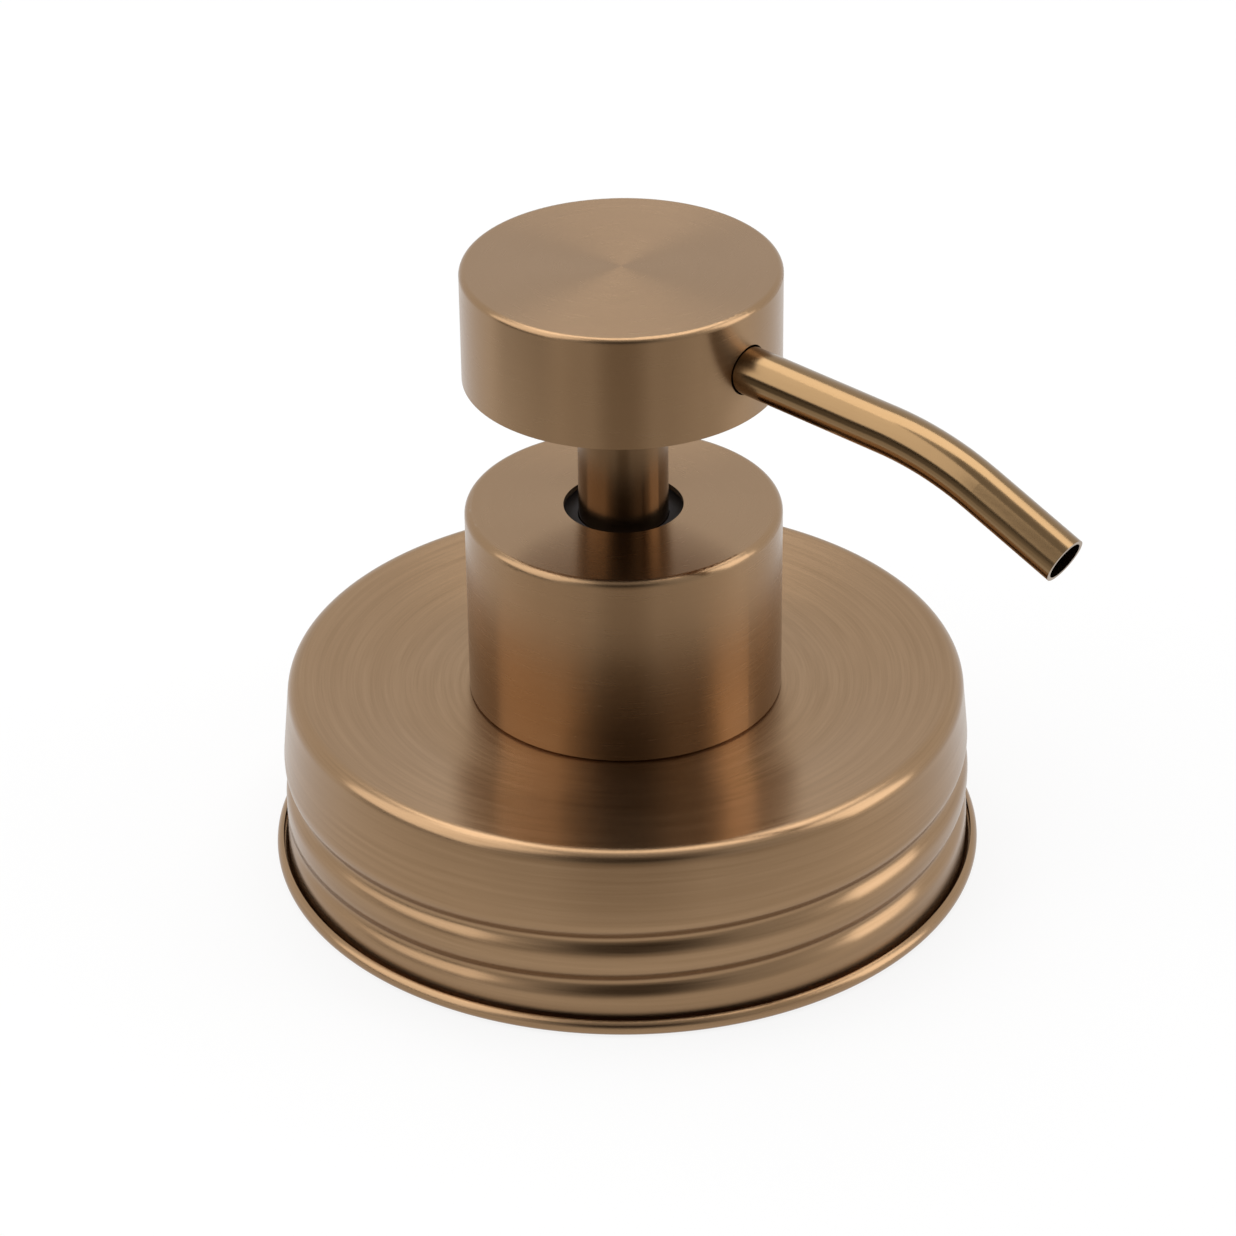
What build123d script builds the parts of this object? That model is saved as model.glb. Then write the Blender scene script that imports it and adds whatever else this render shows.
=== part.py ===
# Soap pump dispenser: a screw-on jar lid with a press pump, one solid per piece.
# Millimetres, +Z up. The jar rim plane is z = 0 and the nozzle points along +X.
import math
import os

from build123d import *

os.makedirs("parts", exist_ok=True)

# Fits
RUN_FIT = 0.08          # radial play of a part that slides or turns in another
PRESS_FIT = 0.05        # radial gap kept between parts that are pushed together
LOOSE_FIT = 0.3         # radial gap between parts that only pass each other
BALL_LIFT = 1.2         # how far a valve ball rises off its seat
SEAT_PLAY = 0.02        # film between a ball and its seat

# Lid
RIM_RADIUS = 37.5
RIM_OVERHANG = 1.25     # how far the rolled rim stands out from the wall
WALL_FLARE = 0.85       # how much the wall widens from the top edge down
LID_HEIGHT = 20.75
DISH_DEPTH = 1.55       # how far the flat middle lies below the top edge
PANEL_RADIUS = 23.0     # flat middle that the collar stands on
DISH_ROUND = 40.0
LID_SHEET = 0.4
LID_EDGE = 1.5
WALL_BREAK_Z = 12.0
WALL_BREAK_ROUND = 4.0
BEAD_TURN = 262.0       # degrees that the sheet is rolled round the rim bead
BEAD_FLAT = 0.05        # depth of the flat that the rim stands on
LID_THREAD_PITCH = 5.08
LID_THREAD_TURNS = 1.3
LID_THREAD_START_Z = 4.5
LID_THREAD_START_ANGLE = -84.5
RIDGE_WIDTH = 3.0
RIDGE_CREST = 1.0
RIDGE_DEPTH = 1.1

# Jar gasket
JAR_GASKET_WIDTH = 6.5
JAR_GASKET_THICK = 1.2

# Neck that carries the pump through the lid
NECK_RADIUS = 11.4
NECK_FLANGE_OVERHANG = 0.1
NECK_FLANGE_THICK = 2.0
NECK_GASKET_THICK = 1.0
NECK_GASKET_WIDTH = 3.0
NECK_THREAD_PITCH = 4.2
NECK_THREAD_TURNS = 1.25
THREAD_HEIGHT = 0.9
THREAD_ROOT_WIDTH = 1.9
THREAD_CREST_WIDTH = 1.1

# Collar
COLLAR_RADIUS = 16.4
COLLAR_HEIGHT = 21.2
COLLAR_SHEET = 0.6
COLLAR_EDGE = 0.8
COLLAR_FOOT_BEVEL = 0.25
COLLAR_HOLE_RADIUS = 6.2
INSERT_FOOT_GAP = 0.9
INSERT_SKIRT = 0.7

# Pump cylinder
BORE_RADIUS = 7.8
CYLINDER_WALL = 1.2
CYLINDER_BOTTOM_Z = 1.0
SPRING_SEAT_Z = 4.0
FLOOR_THICK = 1.2
FLANGE_RADIUS = 11.2
FLANGE_THICK = 1.6
FLANGE_TOP_BELOW_COLLAR = 4.5
HOUSING_GASKET_THICK = 1.0
TURRET_RADIUS = 4.6
SOCKET_RADIUS = 3.2
SOCKET_DEPTH = 4.5
SEAT_WEB = 0.7
INLET_BALL_RADIUS = 2.0
INLET_THROAT_RADIUS = 1.4
SEAT_RISE = 1.5
SEAT_SPREAD = 1.2
CAGE_THICK = 0.7
CAGE_HOLE_RADIUS = 1.2
CAGE_VENT_RADIUS = 0.45

# Chaplet that guides the stem
CHAPLET_RADIUS = 8.8
CHAPLET_PLUG_DEPTH = 3.0
CHAPLET_TOP_BELOW_COLLAR = 1.1

# Piston and spring
PISTON_HEIGHT = 5.7
PISTON_WEB = 2.6
PISTON_SKIRT = 0.9
PISTON_TOP_GAP = 0.3
WIRE_RADIUS = 0.55
SPRING_RADIUS = 5.8
SPRING_TURNS = 7.0
SPRING_END_GAP = 0.05

# Stem
SLEEVE_RADIUS = 4.65
SLEEVE_WALL = 0.5
STEM_SPIGOT_RADIUS = 3.0
STEM_SNAP_RADIUS = 3.5
STEM_SNAP_HEIGHT = 0.8
STEM_BORE_RADIUS = 1.9
OUTLET_BALL_RADIUS = 1.9
OUTLET_THROAT_RADIUS = 1.3

# Head and nozzle
HEAD_RADIUS = 16.25
HEAD_HEIGHT = 12.0
HEAD_GAP = 15.1
HEAD_SHEET = 0.8
HEAD_EDGE = 0.6
BASE_THICK = 0.8
BASE_RECESS = 0.4
SLEEVE_GRIP = 2.4
STEM_GRIP = 1.1
CHAMBER_RADIUS = 2.6
NOZZLE_RADIUS = 2.45
NOZZLE_WALL = 0.4
NOZZLE_HOLE_FIT = 0.15  # radial gap of the cap's hole round the nozzle
NOZZLE_ABOVE_HEAD_BOTTOM = 6.55
NOZZLE_DROOP = 3.4      # degrees that the straight run leans down
NOZZLE_SOCKET_START = 6.0
NOZZLE_BEND_START = 33.2
NOZZLE_BEND_RADIUS = 32.6
NOZZLE_BEND_ANGLE = 20.5
NOZZLE_TAIL = 10.7
SEAL_THICK = 0.9
SEAL_DEPTH = 1.6

# Heights worked out from the sizes above
panel_top = LID_HEIGHT - DISH_DEPTH
lid_under = panel_top - LID_SHEET
collar_top = panel_top + COLLAR_HEIGHT
collar_under = collar_top - COLLAR_SHEET
flange_top = collar_top - FLANGE_TOP_BELOW_COLLAR
neck_top = flange_top - FLANGE_THICK - HOUSING_GASKET_THICK
neck_flange_top = lid_under - NECK_GASKET_THICK
neck_bottom = neck_flange_top - NECK_FLANGE_THICK
chaplet_top = collar_top - CHAPLET_TOP_BELOW_COLLAR
chaplet_bottom = flange_top - CHAPLET_PLUG_DEPTH
piston_top = chaplet_bottom - PISTON_TOP_GAP
piston_ceiling = piston_top - PISTON_WEB
piston_bottom = piston_top - PISTON_HEIGHT
head_bottom = collar_top + HEAD_GAP
head_top = head_bottom + HEAD_HEIGHT
head_under_top = head_top - HEAD_SHEET
base_bottom = head_bottom + BASE_RECESS
core_bottom = base_bottom + BASE_THICK
sleeve_top = core_bottom + SLEEVE_GRIP
stem_top = sleeve_top + STEM_GRIP
nozzle_root = Vector(0, 0, head_bottom + NOZZLE_ABOVE_HEAD_BOTTOM)

# Radii worked out from the sizes above
lid_wall = RIM_RADIUS - RIM_OVERHANG
lid_inner = lid_wall - LID_SHEET
lid_top_radius = lid_wall - WALL_FLARE
gasket_outer = lid_top_radius - LID_EDGE
cylinder_radius = BORE_RADIUS + CYLINDER_WALL
neck_bore = cylinder_radius + LOOSE_FIT
neck_flange_radius = COLLAR_RADIUS + NECK_FLANGE_OVERHANG
neck_crest = NECK_RADIUS + THREAD_HEIGHT
lid_hole = neck_crest + LOOSE_FIT
insert_radius = COLLAR_RADIUS - COLLAR_SHEET - PRESS_FIT
insert_bore = neck_crest + LOOSE_FIT
insert_crest = insert_bore - THREAD_HEIGHT
insert_hole = CHAPLET_RADIUS + LOOSE_FIT
piston_radius = BORE_RADIUS - RUN_FIT
piston_hole = STEM_SPIGOT_RADIUS + RUN_FIT
chaplet_bore = SLEEVE_RADIUS + RUN_FIT
sleeve_bore = SLEEVE_RADIUS - SLEEVE_WALL
stem_radius = sleeve_bore - PRESS_FIT
core_radius = HEAD_RADIUS - HEAD_SHEET - PRESS_FIT
nozzle_bore = NOZZLE_RADIUS - NOZZLE_WALL
seal_radius = NOZZLE_RADIUS + SEAL_THICK
guide_radius = INLET_BALL_RADIUS + LOOSE_FIT
seat_angle = math.atan2(SEAT_SPREAD, SEAT_RISE)
chamber_radius = max(CHAMBER_RADIUS, OUTLET_BALL_RADIUS + LOOSE_FIT)

# Nozzle axis, which leans down from the pump's axis
droop = math.radians(NOZZLE_DROOP)
nozzle_along = Vector(math.cos(droop), 0, -math.sin(droop))
nozzle_down = Vector(-math.sin(droop), 0, -math.cos(droop))
nozzle_plane = Plane(origin=nozzle_root, x_dir=(0, 1, 0), z_dir=nozzle_along)

# Each ball touches its conical seat at this height above the throat
inlet_throat_z = CYLINDER_BOTTOM_Z + SOCKET_DEPTH + SEAT_WEB
inlet_touch = INLET_BALL_RADIUS * math.cos(seat_angle) - INLET_THROAT_RADIUS
inlet_ball_z = inlet_throat_z + inlet_touch / math.tan(seat_angle)
inlet_ball_z += INLET_BALL_RADIUS * math.sin(seat_angle) + SEAT_PLAY
cage_bottom = inlet_ball_z + INLET_BALL_RADIUS + BALL_LIFT
turret_top = cage_bottom + CAGE_THICK
outlet_throat_z = stem_top - SEAT_RISE
outlet_touch = OUTLET_BALL_RADIUS * math.cos(seat_angle) - OUTLET_THROAT_RADIUS
outlet_ball_z = outlet_throat_z + outlet_touch / math.tan(seat_angle)
outlet_ball_z += OUTLET_BALL_RADIUS * math.sin(seat_angle) + SEAT_PLAY
chamber_top = outlet_ball_z + OUTLET_BALL_RADIUS + BALL_LIFT

# Lid shell: pressed sheet with a rolled thread and a rolled rim bead
bead_radius = (RIM_RADIUS - lid_inner) / 2
bead_hollow = bead_radius - LID_SHEET
bead_centre = (RIM_RADIUS - bead_radius, bead_radius - BEAD_FLAT)
thread_rise = LID_THREAD_PITCH * LID_THREAD_TURNS
thread_foot = (0, 0, LID_THREAD_START_Z)
groove_width = RIDGE_WIDTH * 0.8
groove_floor = RIDGE_CREST * 0.7
groove_depth = RIDGE_DEPTH * 0.85
with BuildPart() as lid_blank:
    with BuildSketch(Plane.XZ):
        with BuildLine():
            FilletPolyline(
                (lid_hole, panel_top),
                (PANEL_RADIUS, panel_top),
                (lid_top_radius, LID_HEIGHT),
                (lid_wall, WALL_BREAK_Z),
                (lid_wall, bead_centre[1]),
                radius=[DISH_ROUND, LID_EDGE, WALL_BREAK_ROUND],
            )
            offset(amount=LID_SHEET, side=Side.RIGHT)
        make_face()
        with BuildLine():
            bead_outside = CenterArc(bead_centre, bead_radius, 180, BEAD_TURN)
            bead_inside = CenterArc(bead_centre, bead_hollow, 180, BEAD_TURN)
            Line(bead_outside @ 0, bead_inside @ 0)
            Line(bead_outside @ 1, bead_inside @ 1)
        make_face()
    revolve(axis=Axis.Z)
    with BuildSketch():
        Circle(RIM_RADIUS)
    extrude(amount=-bead_radius, mode=Mode.SUBTRACT)
    with BuildLine():
        ridge_path = Helix(LID_THREAD_PITCH, thread_rise, lid_inner, center=thread_foot)
    with BuildSketch(Plane(origin=ridge_path @ 0, x_dir=(1, 0, 0), z_dir=(0, 1, 0))):
        with BuildLine():
            Polyline(
                (LID_SHEET / 2, -RIDGE_WIDTH / 2),
                (-RIDGE_DEPTH, -RIDGE_CREST / 2),
                (-RIDGE_DEPTH, RIDGE_CREST / 2),
                (LID_SHEET / 2, RIDGE_WIDTH / 2),
                close=True,
            )
        make_face()
    sweep(path=ridge_path, is_frenet=True)
    with BuildLine():
        groove_path = Helix(LID_THREAD_PITCH, thread_rise, lid_wall, center=thread_foot)
    with BuildSketch(Plane(origin=groove_path @ 0, x_dir=(1, 0, 0), z_dir=(0, 1, 0))):
        with BuildLine():
            Polyline(
                (LID_SHEET / 2, -groove_width / 2),
                (-groove_depth, -groove_floor / 2),
                (-groove_depth, groove_floor / 2),
                (LID_SHEET / 2, groove_width / 2),
                close=True,
            )
        make_face()
    sweep(path=groove_path, is_frenet=True, mode=Mode.SUBTRACT)
with BuildPart() as lid_shell:
    with Locations(Rotation(0, 0, LID_THREAD_START_ANGLE)):
        add(lid_blank.part)
lid_shell.part.label = "lid_shell"
export_step(lid_shell.part, "parts/lid_shell.step")

# Jar gasket: soft ring that the jar mouth presses on
dish_slope = math.atan2(DISH_DEPTH, lid_top_radius - PANEL_RADIUS)
dish_under = panel_top - LID_SHEET / math.cos(dish_slope) - SEAT_PLAY
gasket_inner = gasket_outer - JAR_GASKET_WIDTH
gasket_low = dish_under + (gasket_inner - PANEL_RADIUS) * math.tan(dish_slope)
gasket_high = dish_under + (gasket_outer - PANEL_RADIUS) * math.tan(dish_slope)
with BuildPart() as jar_gasket:
    with BuildSketch(Plane.XZ):
        with BuildLine():
            Polyline(
                (gasket_inner, gasket_low - JAR_GASKET_THICK),
                (gasket_outer, gasket_low - JAR_GASKET_THICK),
                (gasket_outer, gasket_high),
                (gasket_inner, gasket_low),
                close=True,
            )
        make_face()
    revolve(axis=Axis.Z)
jar_gasket.part.label = "jar_gasket"
export_step(jar_gasket.part, "parts/jar_gasket.step")

# Neck: threaded tube with a flange under the lid
neck_thread_rise = NECK_THREAD_PITCH * NECK_THREAD_TURNS
neck_thread_z = neck_top - THREAD_ROOT_WIDTH - neck_thread_rise
with BuildPart() as neck:
    with BuildSketch(Plane.XY.offset(neck_bottom)):
        Circle(neck_flange_radius)
    extrude(amount=NECK_FLANGE_THICK)
    with BuildSketch(Plane.XY.offset(neck_bottom)):
        Circle(NECK_RADIUS)
    extrude(amount=neck_top - neck_bottom)
    with BuildLine():
        neck_path = Helix(NECK_THREAD_PITCH, neck_thread_rise, NECK_RADIUS, center=(0, 0, neck_thread_z))
    with BuildSketch(Plane(origin=neck_path @ 0, x_dir=(1, 0, 0), z_dir=(0, 1, 0))):
        with BuildLine():
            Polyline(
                (-THREAD_HEIGHT / 2, -THREAD_ROOT_WIDTH / 2),
                (THREAD_HEIGHT, -THREAD_CREST_WIDTH / 2),
                (THREAD_HEIGHT, THREAD_CREST_WIDTH / 2),
                (-THREAD_HEIGHT / 2, THREAD_ROOT_WIDTH / 2),
                close=True,
            )
        make_face()
    sweep(path=neck_path, is_frenet=True)
    with BuildSketch(Plane.XY.offset(neck_bottom)):
        Circle(neck_bore)
    extrude(amount=neck_top - neck_bottom, mode=Mode.SUBTRACT)
neck.part.label = "neck"
export_step(neck.part, "parts/neck.step")

# Neck gasket: seals the neck flange against the lid
with BuildPart() as neck_gasket:
    with BuildSketch(Plane.XY.offset(neck_flange_top)):
        Circle(lid_hole + NECK_GASKET_WIDTH)
        Circle(lid_hole, mode=Mode.SUBTRACT)
    extrude(amount=NECK_GASKET_THICK)
neck_gasket.part.label = "neck_gasket"
export_step(neck_gasket.part, "parts/neck_gasket.step")

# Collar shell: the metal cup round the pump's neck, with a bevelled foot
bevel_top = panel_top + COLLAR_FOOT_BEVEL
with BuildPart() as collar_shell:
    with BuildSketch(Plane.XZ):
        with BuildLine():
            FilletPolyline(
                (COLLAR_HOLE_RADIUS, collar_top),
                (COLLAR_RADIUS, collar_top),
                (COLLAR_RADIUS, bevel_top),
                radius=COLLAR_EDGE,
            )
            Line((COLLAR_RADIUS, bevel_top), (COLLAR_RADIUS - COLLAR_FOOT_BEVEL, panel_top))
            offset(amount=COLLAR_SHEET, side=Side.RIGHT)
        make_face()
    revolve(axis=Axis.Z)
collar_shell.part.label = "collar_shell"
export_step(collar_shell.part, "parts/collar_shell.step")

# Collar insert: the threaded closure inside the collar, with an inner and an outer skirt
insert_bottom = panel_top + INSERT_FOOT_GAP
insert_top = collar_under - PRESS_FIT
insert_thread_z = neck_thread_z - NECK_THREAD_PITCH / 2
with BuildPart() as collar_insert:
    with BuildSketch(Plane.XZ):
        with BuildLine():
            Polyline(
                (insert_bore, insert_bottom),
                (insert_bore + INSERT_SKIRT, insert_bottom),
                (insert_bore + INSERT_SKIRT, flange_top),
                (insert_radius - INSERT_SKIRT, flange_top),
                (insert_radius - INSERT_SKIRT, insert_bottom),
                (insert_radius, insert_bottom),
                (insert_radius, insert_top - COLLAR_EDGE),
                (insert_radius - COLLAR_EDGE, insert_top),
                (insert_hole, insert_top),
                (insert_hole, flange_top),
                (insert_bore, flange_top),
                close=True,
            )
        make_face()
    revolve(axis=Axis.Z)
    with BuildLine():
        insert_path = Helix(NECK_THREAD_PITCH, neck_thread_rise, insert_bore, center=(0, 0, insert_thread_z))
    with BuildSketch(Plane(origin=insert_path @ 0, x_dir=(1, 0, 0), z_dir=(0, 1, 0))):
        with BuildLine():
            Polyline(
                (THREAD_HEIGHT / 2, -THREAD_ROOT_WIDTH / 2),
                (-THREAD_HEIGHT, -THREAD_CREST_WIDTH / 2),
                (-THREAD_HEIGHT, THREAD_CREST_WIDTH / 2),
                (THREAD_HEIGHT / 2, THREAD_ROOT_WIDTH / 2),
                close=True,
            )
        make_face()
    sweep(path=insert_path, is_frenet=True)
collar_insert.part.label = "collar_insert"
export_step(collar_insert.part, "parts/collar_insert.step")

# Cylinder: pump barrel with its flange, inlet turret and dip-tube socket
with BuildPart() as cylinder:
    with BuildSketch(Plane.XZ):
        with BuildLine():
            Polyline(
                (SOCKET_RADIUS, CYLINDER_BOTTOM_Z),
                (TURRET_RADIUS, CYLINDER_BOTTOM_Z),
                (TURRET_RADIUS, SPRING_SEAT_Z - FLOOR_THICK),
                (cylinder_radius, SPRING_SEAT_Z - FLOOR_THICK),
                (cylinder_radius, flange_top - FLANGE_THICK),
                (FLANGE_RADIUS, flange_top - FLANGE_THICK),
                (FLANGE_RADIUS, flange_top),
                (BORE_RADIUS, flange_top),
                (BORE_RADIUS, SPRING_SEAT_Z),
                (TURRET_RADIUS, SPRING_SEAT_Z),
                (TURRET_RADIUS, turret_top),
                (guide_radius + CAGE_THICK, turret_top),
                (guide_radius + CAGE_THICK, cage_bottom),
                (guide_radius, cage_bottom),
                (guide_radius, inlet_throat_z + (guide_radius - INLET_THROAT_RADIUS) / math.tan(seat_angle)),
                (INLET_THROAT_RADIUS, inlet_throat_z),
                (INLET_THROAT_RADIUS, inlet_throat_z - SEAT_WEB),
                (SOCKET_RADIUS, inlet_throat_z - SEAT_WEB),
                close=True,
            )
        make_face()
    revolve(axis=Axis.Z)
cylinder.part.label = "cylinder"
export_step(cylinder.part, "parts/cylinder.step")

# Housing gasket: seals the barrel's flange on the neck
with BuildPart() as housing_gasket:
    with BuildSketch(Plane.XY.offset(neck_top)):
        Circle(FLANGE_RADIUS)
        Circle(neck_bore, mode=Mode.SUBTRACT)
    extrude(amount=HOUSING_GASKET_THICK)
housing_gasket.part.label = "housing_gasket"
export_step(housing_gasket.part, "parts/housing_gasket.step")

# Chaplet: dark guide in the mouth of the barrel
with BuildPart() as chaplet:
    with BuildSketch(Plane.XZ):
        with BuildLine():
            Polyline(
                (chaplet_bore, chaplet_bottom),
                (BORE_RADIUS - PRESS_FIT, chaplet_bottom),
                (BORE_RADIUS - PRESS_FIT, flange_top),
                (CHAPLET_RADIUS, flange_top),
                (CHAPLET_RADIUS, chaplet_top),
                (chaplet_bore, chaplet_top),
                close=True,
            )
        make_face()
    revolve(axis=Axis.Z)
chaplet.part.label = "chaplet"
export_step(chaplet.part, "parts/chaplet.step")

# Inlet ball and the cage that keeps it over its seat
with BuildPart() as inlet_ball:
    with Locations((0, 0, inlet_ball_z)):
        Sphere(INLET_BALL_RADIUS)
inlet_ball.part.label = "inlet_ball"
export_step(inlet_ball.part, "parts/inlet_ball.step")

with BuildPart() as ball_cage:
    with BuildSketch(Plane.XY.offset(cage_bottom)):
        Circle(guide_radius + CAGE_THICK - PRESS_FIT)
        Circle(CAGE_HOLE_RADIUS, mode=Mode.SUBTRACT)
        with PolarLocations((CAGE_HOLE_RADIUS + guide_radius) / 2, 6):
            Circle(min(CAGE_VENT_RADIUS, (guide_radius - CAGE_HOLE_RADIUS) * 0.4), mode=Mode.SUBTRACT)
    extrude(amount=CAGE_THICK)
ball_cage.part.label = "ball_cage"
export_step(ball_cage.part, "parts/ball_cage.step")

# Return spring: one helical wire between the barrel's floor and the piston
spring_low = SPRING_SEAT_Z + SPRING_END_GAP + WIRE_RADIUS
spring_high = piston_ceiling - SPRING_END_GAP - WIRE_RADIUS
spring_pitch = (spring_high - spring_low) / SPRING_TURNS
with BuildPart() as return_spring:
    with BuildLine():
        wire_path = Helix(spring_pitch, spring_high - spring_low, SPRING_RADIUS, center=(0, 0, spring_low))
    with BuildSketch(Plane(origin=wire_path @ 0, z_dir=wire_path % 0)):
        Circle(WIRE_RADIUS)
    sweep(is_frenet=True)
return_spring.part.label = "return_spring"
export_step(return_spring.part, "parts/return_spring.step")

# Least gap of the spring to itself, measured on points of its centre line
wire_points = [wire_path @ (i / 1000) for i in range(1001)]
skip = int(500 / SPRING_TURNS)
spring_gap = min(
    (wire_points[i] - wire_points[j]).length
    for i in range(0, 1001, 5)
    for j in range(i + skip, 1001, 5)
) - 2 * WIRE_RADIUS
print("spring gap to itself", round(spring_gap, 2), "mm")

# Piston: cup with a sliding skirt, carried on the stem's spigot
with BuildPart() as piston:
    with BuildSketch(Plane.XZ):
        with BuildLine():
            Polyline(
                (piston_hole, piston_top),
                (piston_radius, piston_top),
                (piston_radius, piston_bottom),
                (piston_radius - PISTON_SKIRT, piston_bottom),
                (piston_radius - PISTON_SKIRT, piston_ceiling),
                (piston_hole, piston_ceiling),
                close=True,
            )
        make_face()
    revolve(axis=Axis.Z)
piston.part.label = "piston"
export_step(piston.part, "parts/piston.step")

# Piston stem: hollow stem that turns in the piston, with the outlet seat on top
snap_top = piston_ceiling - RUN_FIT
shoulder = piston_top + RUN_FIT
with BuildPart() as piston_stem:
    with BuildSketch(Plane.XZ):
        with BuildLine():
            Polyline(
                (STEM_BORE_RADIUS, snap_top - STEM_SNAP_HEIGHT),
                (STEM_SPIGOT_RADIUS, snap_top - STEM_SNAP_HEIGHT),
                (STEM_SNAP_RADIUS, snap_top),
                (STEM_SPIGOT_RADIUS, snap_top),
                (STEM_SPIGOT_RADIUS, shoulder),
                (stem_radius, shoulder),
                (stem_radius, stem_top),
                (OUTLET_THROAT_RADIUS + SEAT_SPREAD, stem_top),
                (OUTLET_THROAT_RADIUS, outlet_throat_z),
                (OUTLET_THROAT_RADIUS, outlet_throat_z - SEAT_WEB),
                (STEM_BORE_RADIUS, outlet_throat_z - 2 * SEAT_WEB),
                close=True,
            )
        make_face()
    revolve(axis=Axis.Z)
piston_stem.part.label = "piston_stem"
export_step(piston_stem.part, "parts/piston_stem.step")

# Stem sleeve: the metal tube seen between the collar and the head
with BuildPart() as stem_sleeve:
    with BuildSketch(Plane.XY.offset(shoulder)):
        Circle(SLEEVE_RADIUS)
        Circle(sleeve_bore, mode=Mode.SUBTRACT)
    extrude(amount=sleeve_top - shoulder)
stem_sleeve.part.label = "stem_sleeve"
export_step(stem_sleeve.part, "parts/stem_sleeve.step")

# Outlet ball: rests on the stem's seat inside the head
with BuildPart() as outlet_ball:
    with Locations((0, 0, outlet_ball_z)):
        Sphere(OUTLET_BALL_RADIUS)
outlet_ball.part.label = "outlet_ball"
export_step(outlet_ball.part, "parts/outlet_ball.step")

# Head shell: the pressed metal cap
with BuildPart() as head_shell:
    with BuildSketch(Plane.XZ):
        with BuildLine():
            FilletPolyline(
                (0, head_top),
                (HEAD_RADIUS, head_top),
                (HEAD_RADIUS, head_bottom),
                radius=HEAD_EDGE,
            )
            offset(amount=HEAD_SHEET, side=Side.RIGHT)
        make_face()
    revolve(axis=Axis.Z)
    with BuildSketch(nozzle_plane.offset(HEAD_RADIUS / 2)):
        Circle(NOZZLE_RADIUS + NOZZLE_HOLE_FIT)
    extrude(amount=HEAD_RADIUS, mode=Mode.SUBTRACT)
head_shell.part.label = "head_shell"
export_step(head_shell.part, "parts/head_shell.step")

# Head core: the moulded body inside the cap with the outlet chamber
with BuildPart() as head_core:
    with BuildSketch(Plane.XZ):
        with BuildLine():
            Polyline(
                (SLEEVE_RADIUS + PRESS_FIT, core_bottom),
                (core_radius, core_bottom),
                (core_radius, head_under_top - PRESS_FIT - HEAD_EDGE),
                (core_radius - HEAD_EDGE, head_under_top - PRESS_FIT),
                (0, head_under_top - PRESS_FIT),
                (0, chamber_top),
                (chamber_radius, chamber_top),
                (chamber_radius, stem_top),
                (stem_radius + PRESS_FIT, stem_top),
                (stem_radius + PRESS_FIT, sleeve_top),
                (SLEEVE_RADIUS + PRESS_FIT, sleeve_top),
                close=True,
            )
        make_face()
    revolve(axis=Axis.Z)
    with BuildSketch(nozzle_plane.offset(chamber_radius * 0.85)):
        Circle(nozzle_bore)
    extrude(amount=HEAD_RADIUS, mode=Mode.SUBTRACT)
    with BuildSketch(nozzle_plane.offset(NOZZLE_SOCKET_START)):
        Circle(NOZZLE_RADIUS + PRESS_FIT)
    extrude(amount=HEAD_RADIUS, mode=Mode.SUBTRACT)
    with BuildSketch(nozzle_plane.offset(core_radius - SEAL_DEPTH)):
        Circle(seal_radius + PRESS_FIT)
    extrude(amount=HEAD_RADIUS, mode=Mode.SUBTRACT)
head_core.part.label = "head_core"
export_step(head_core.part, "parts/head_core.step")

# Head base: metal disc that closes the cap from below
with BuildPart() as head_base:
    with BuildSketch(Plane.XY.offset(base_bottom)):
        Circle(core_radius)
        Circle(SLEEVE_RADIUS + PRESS_FIT, mode=Mode.SUBTRACT)
    extrude(amount=BASE_THICK)
head_base.part.label = "head_base"
export_step(head_base.part, "parts/head_base.step")

# Nozzle: bent tube with a square-cut open end
bend_start = nozzle_root + nozzle_along * NOZZLE_BEND_START
half_bend = math.radians(NOZZLE_BEND_ANGLE / 2)
bend_mid = bend_start + nozzle_along * (NOZZLE_BEND_RADIUS * math.sin(half_bend))
bend_mid += nozzle_down * (NOZZLE_BEND_RADIUS * (1 - math.cos(half_bend)))
bend_end = bend_start + nozzle_along * (NOZZLE_BEND_RADIUS * math.sin(2 * half_bend))
bend_end += nozzle_down * (NOZZLE_BEND_RADIUS * (1 - math.cos(2 * half_bend)))
with BuildPart() as nozzle:
    with BuildLine():
        Line(nozzle_root + nozzle_along * NOZZLE_SOCKET_START, bend_start)
        bend = ThreePointArc(bend_start, bend_mid, bend_end)
        Line(bend @ 1, bend @ 1 + (bend % 1) * NOZZLE_TAIL)
    with BuildSketch(nozzle_plane.offset(NOZZLE_SOCKET_START)):
        Circle(NOZZLE_RADIUS)
        Circle(nozzle_bore, mode=Mode.SUBTRACT)
    sweep()
nozzle.part.label = "nozzle"
export_step(nozzle.part, "parts/nozzle.step")

# Nozzle seal: soft ring round the nozzle, held in the core behind the cap
with BuildPart() as nozzle_seal:
    with BuildSketch(nozzle_plane.offset(core_radius - SEAL_DEPTH + PRESS_FIT)):
        Circle(seal_radius)
        Circle(NOZZLE_RADIUS + PRESS_FIT, mode=Mode.SUBTRACT)
    extrude(amount=2 * SEAL_DEPTH)
    with Locations(nozzle_root):
        Cylinder(core_radius, 2 * HEAD_HEIGHT, mode=Mode.INTERSECT)
nozzle_seal.part.label = "nozzle_seal"
export_step(nozzle_seal.part, "parts/nozzle_seal.step")
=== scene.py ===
"""Dresses the soap pump dispenser: brushed bronze finishes, the rolled lid, the coil spring and the stage."""

import math

import bmesh
import bpy
from mathutils import Matrix, Quaternion, Vector


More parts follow.
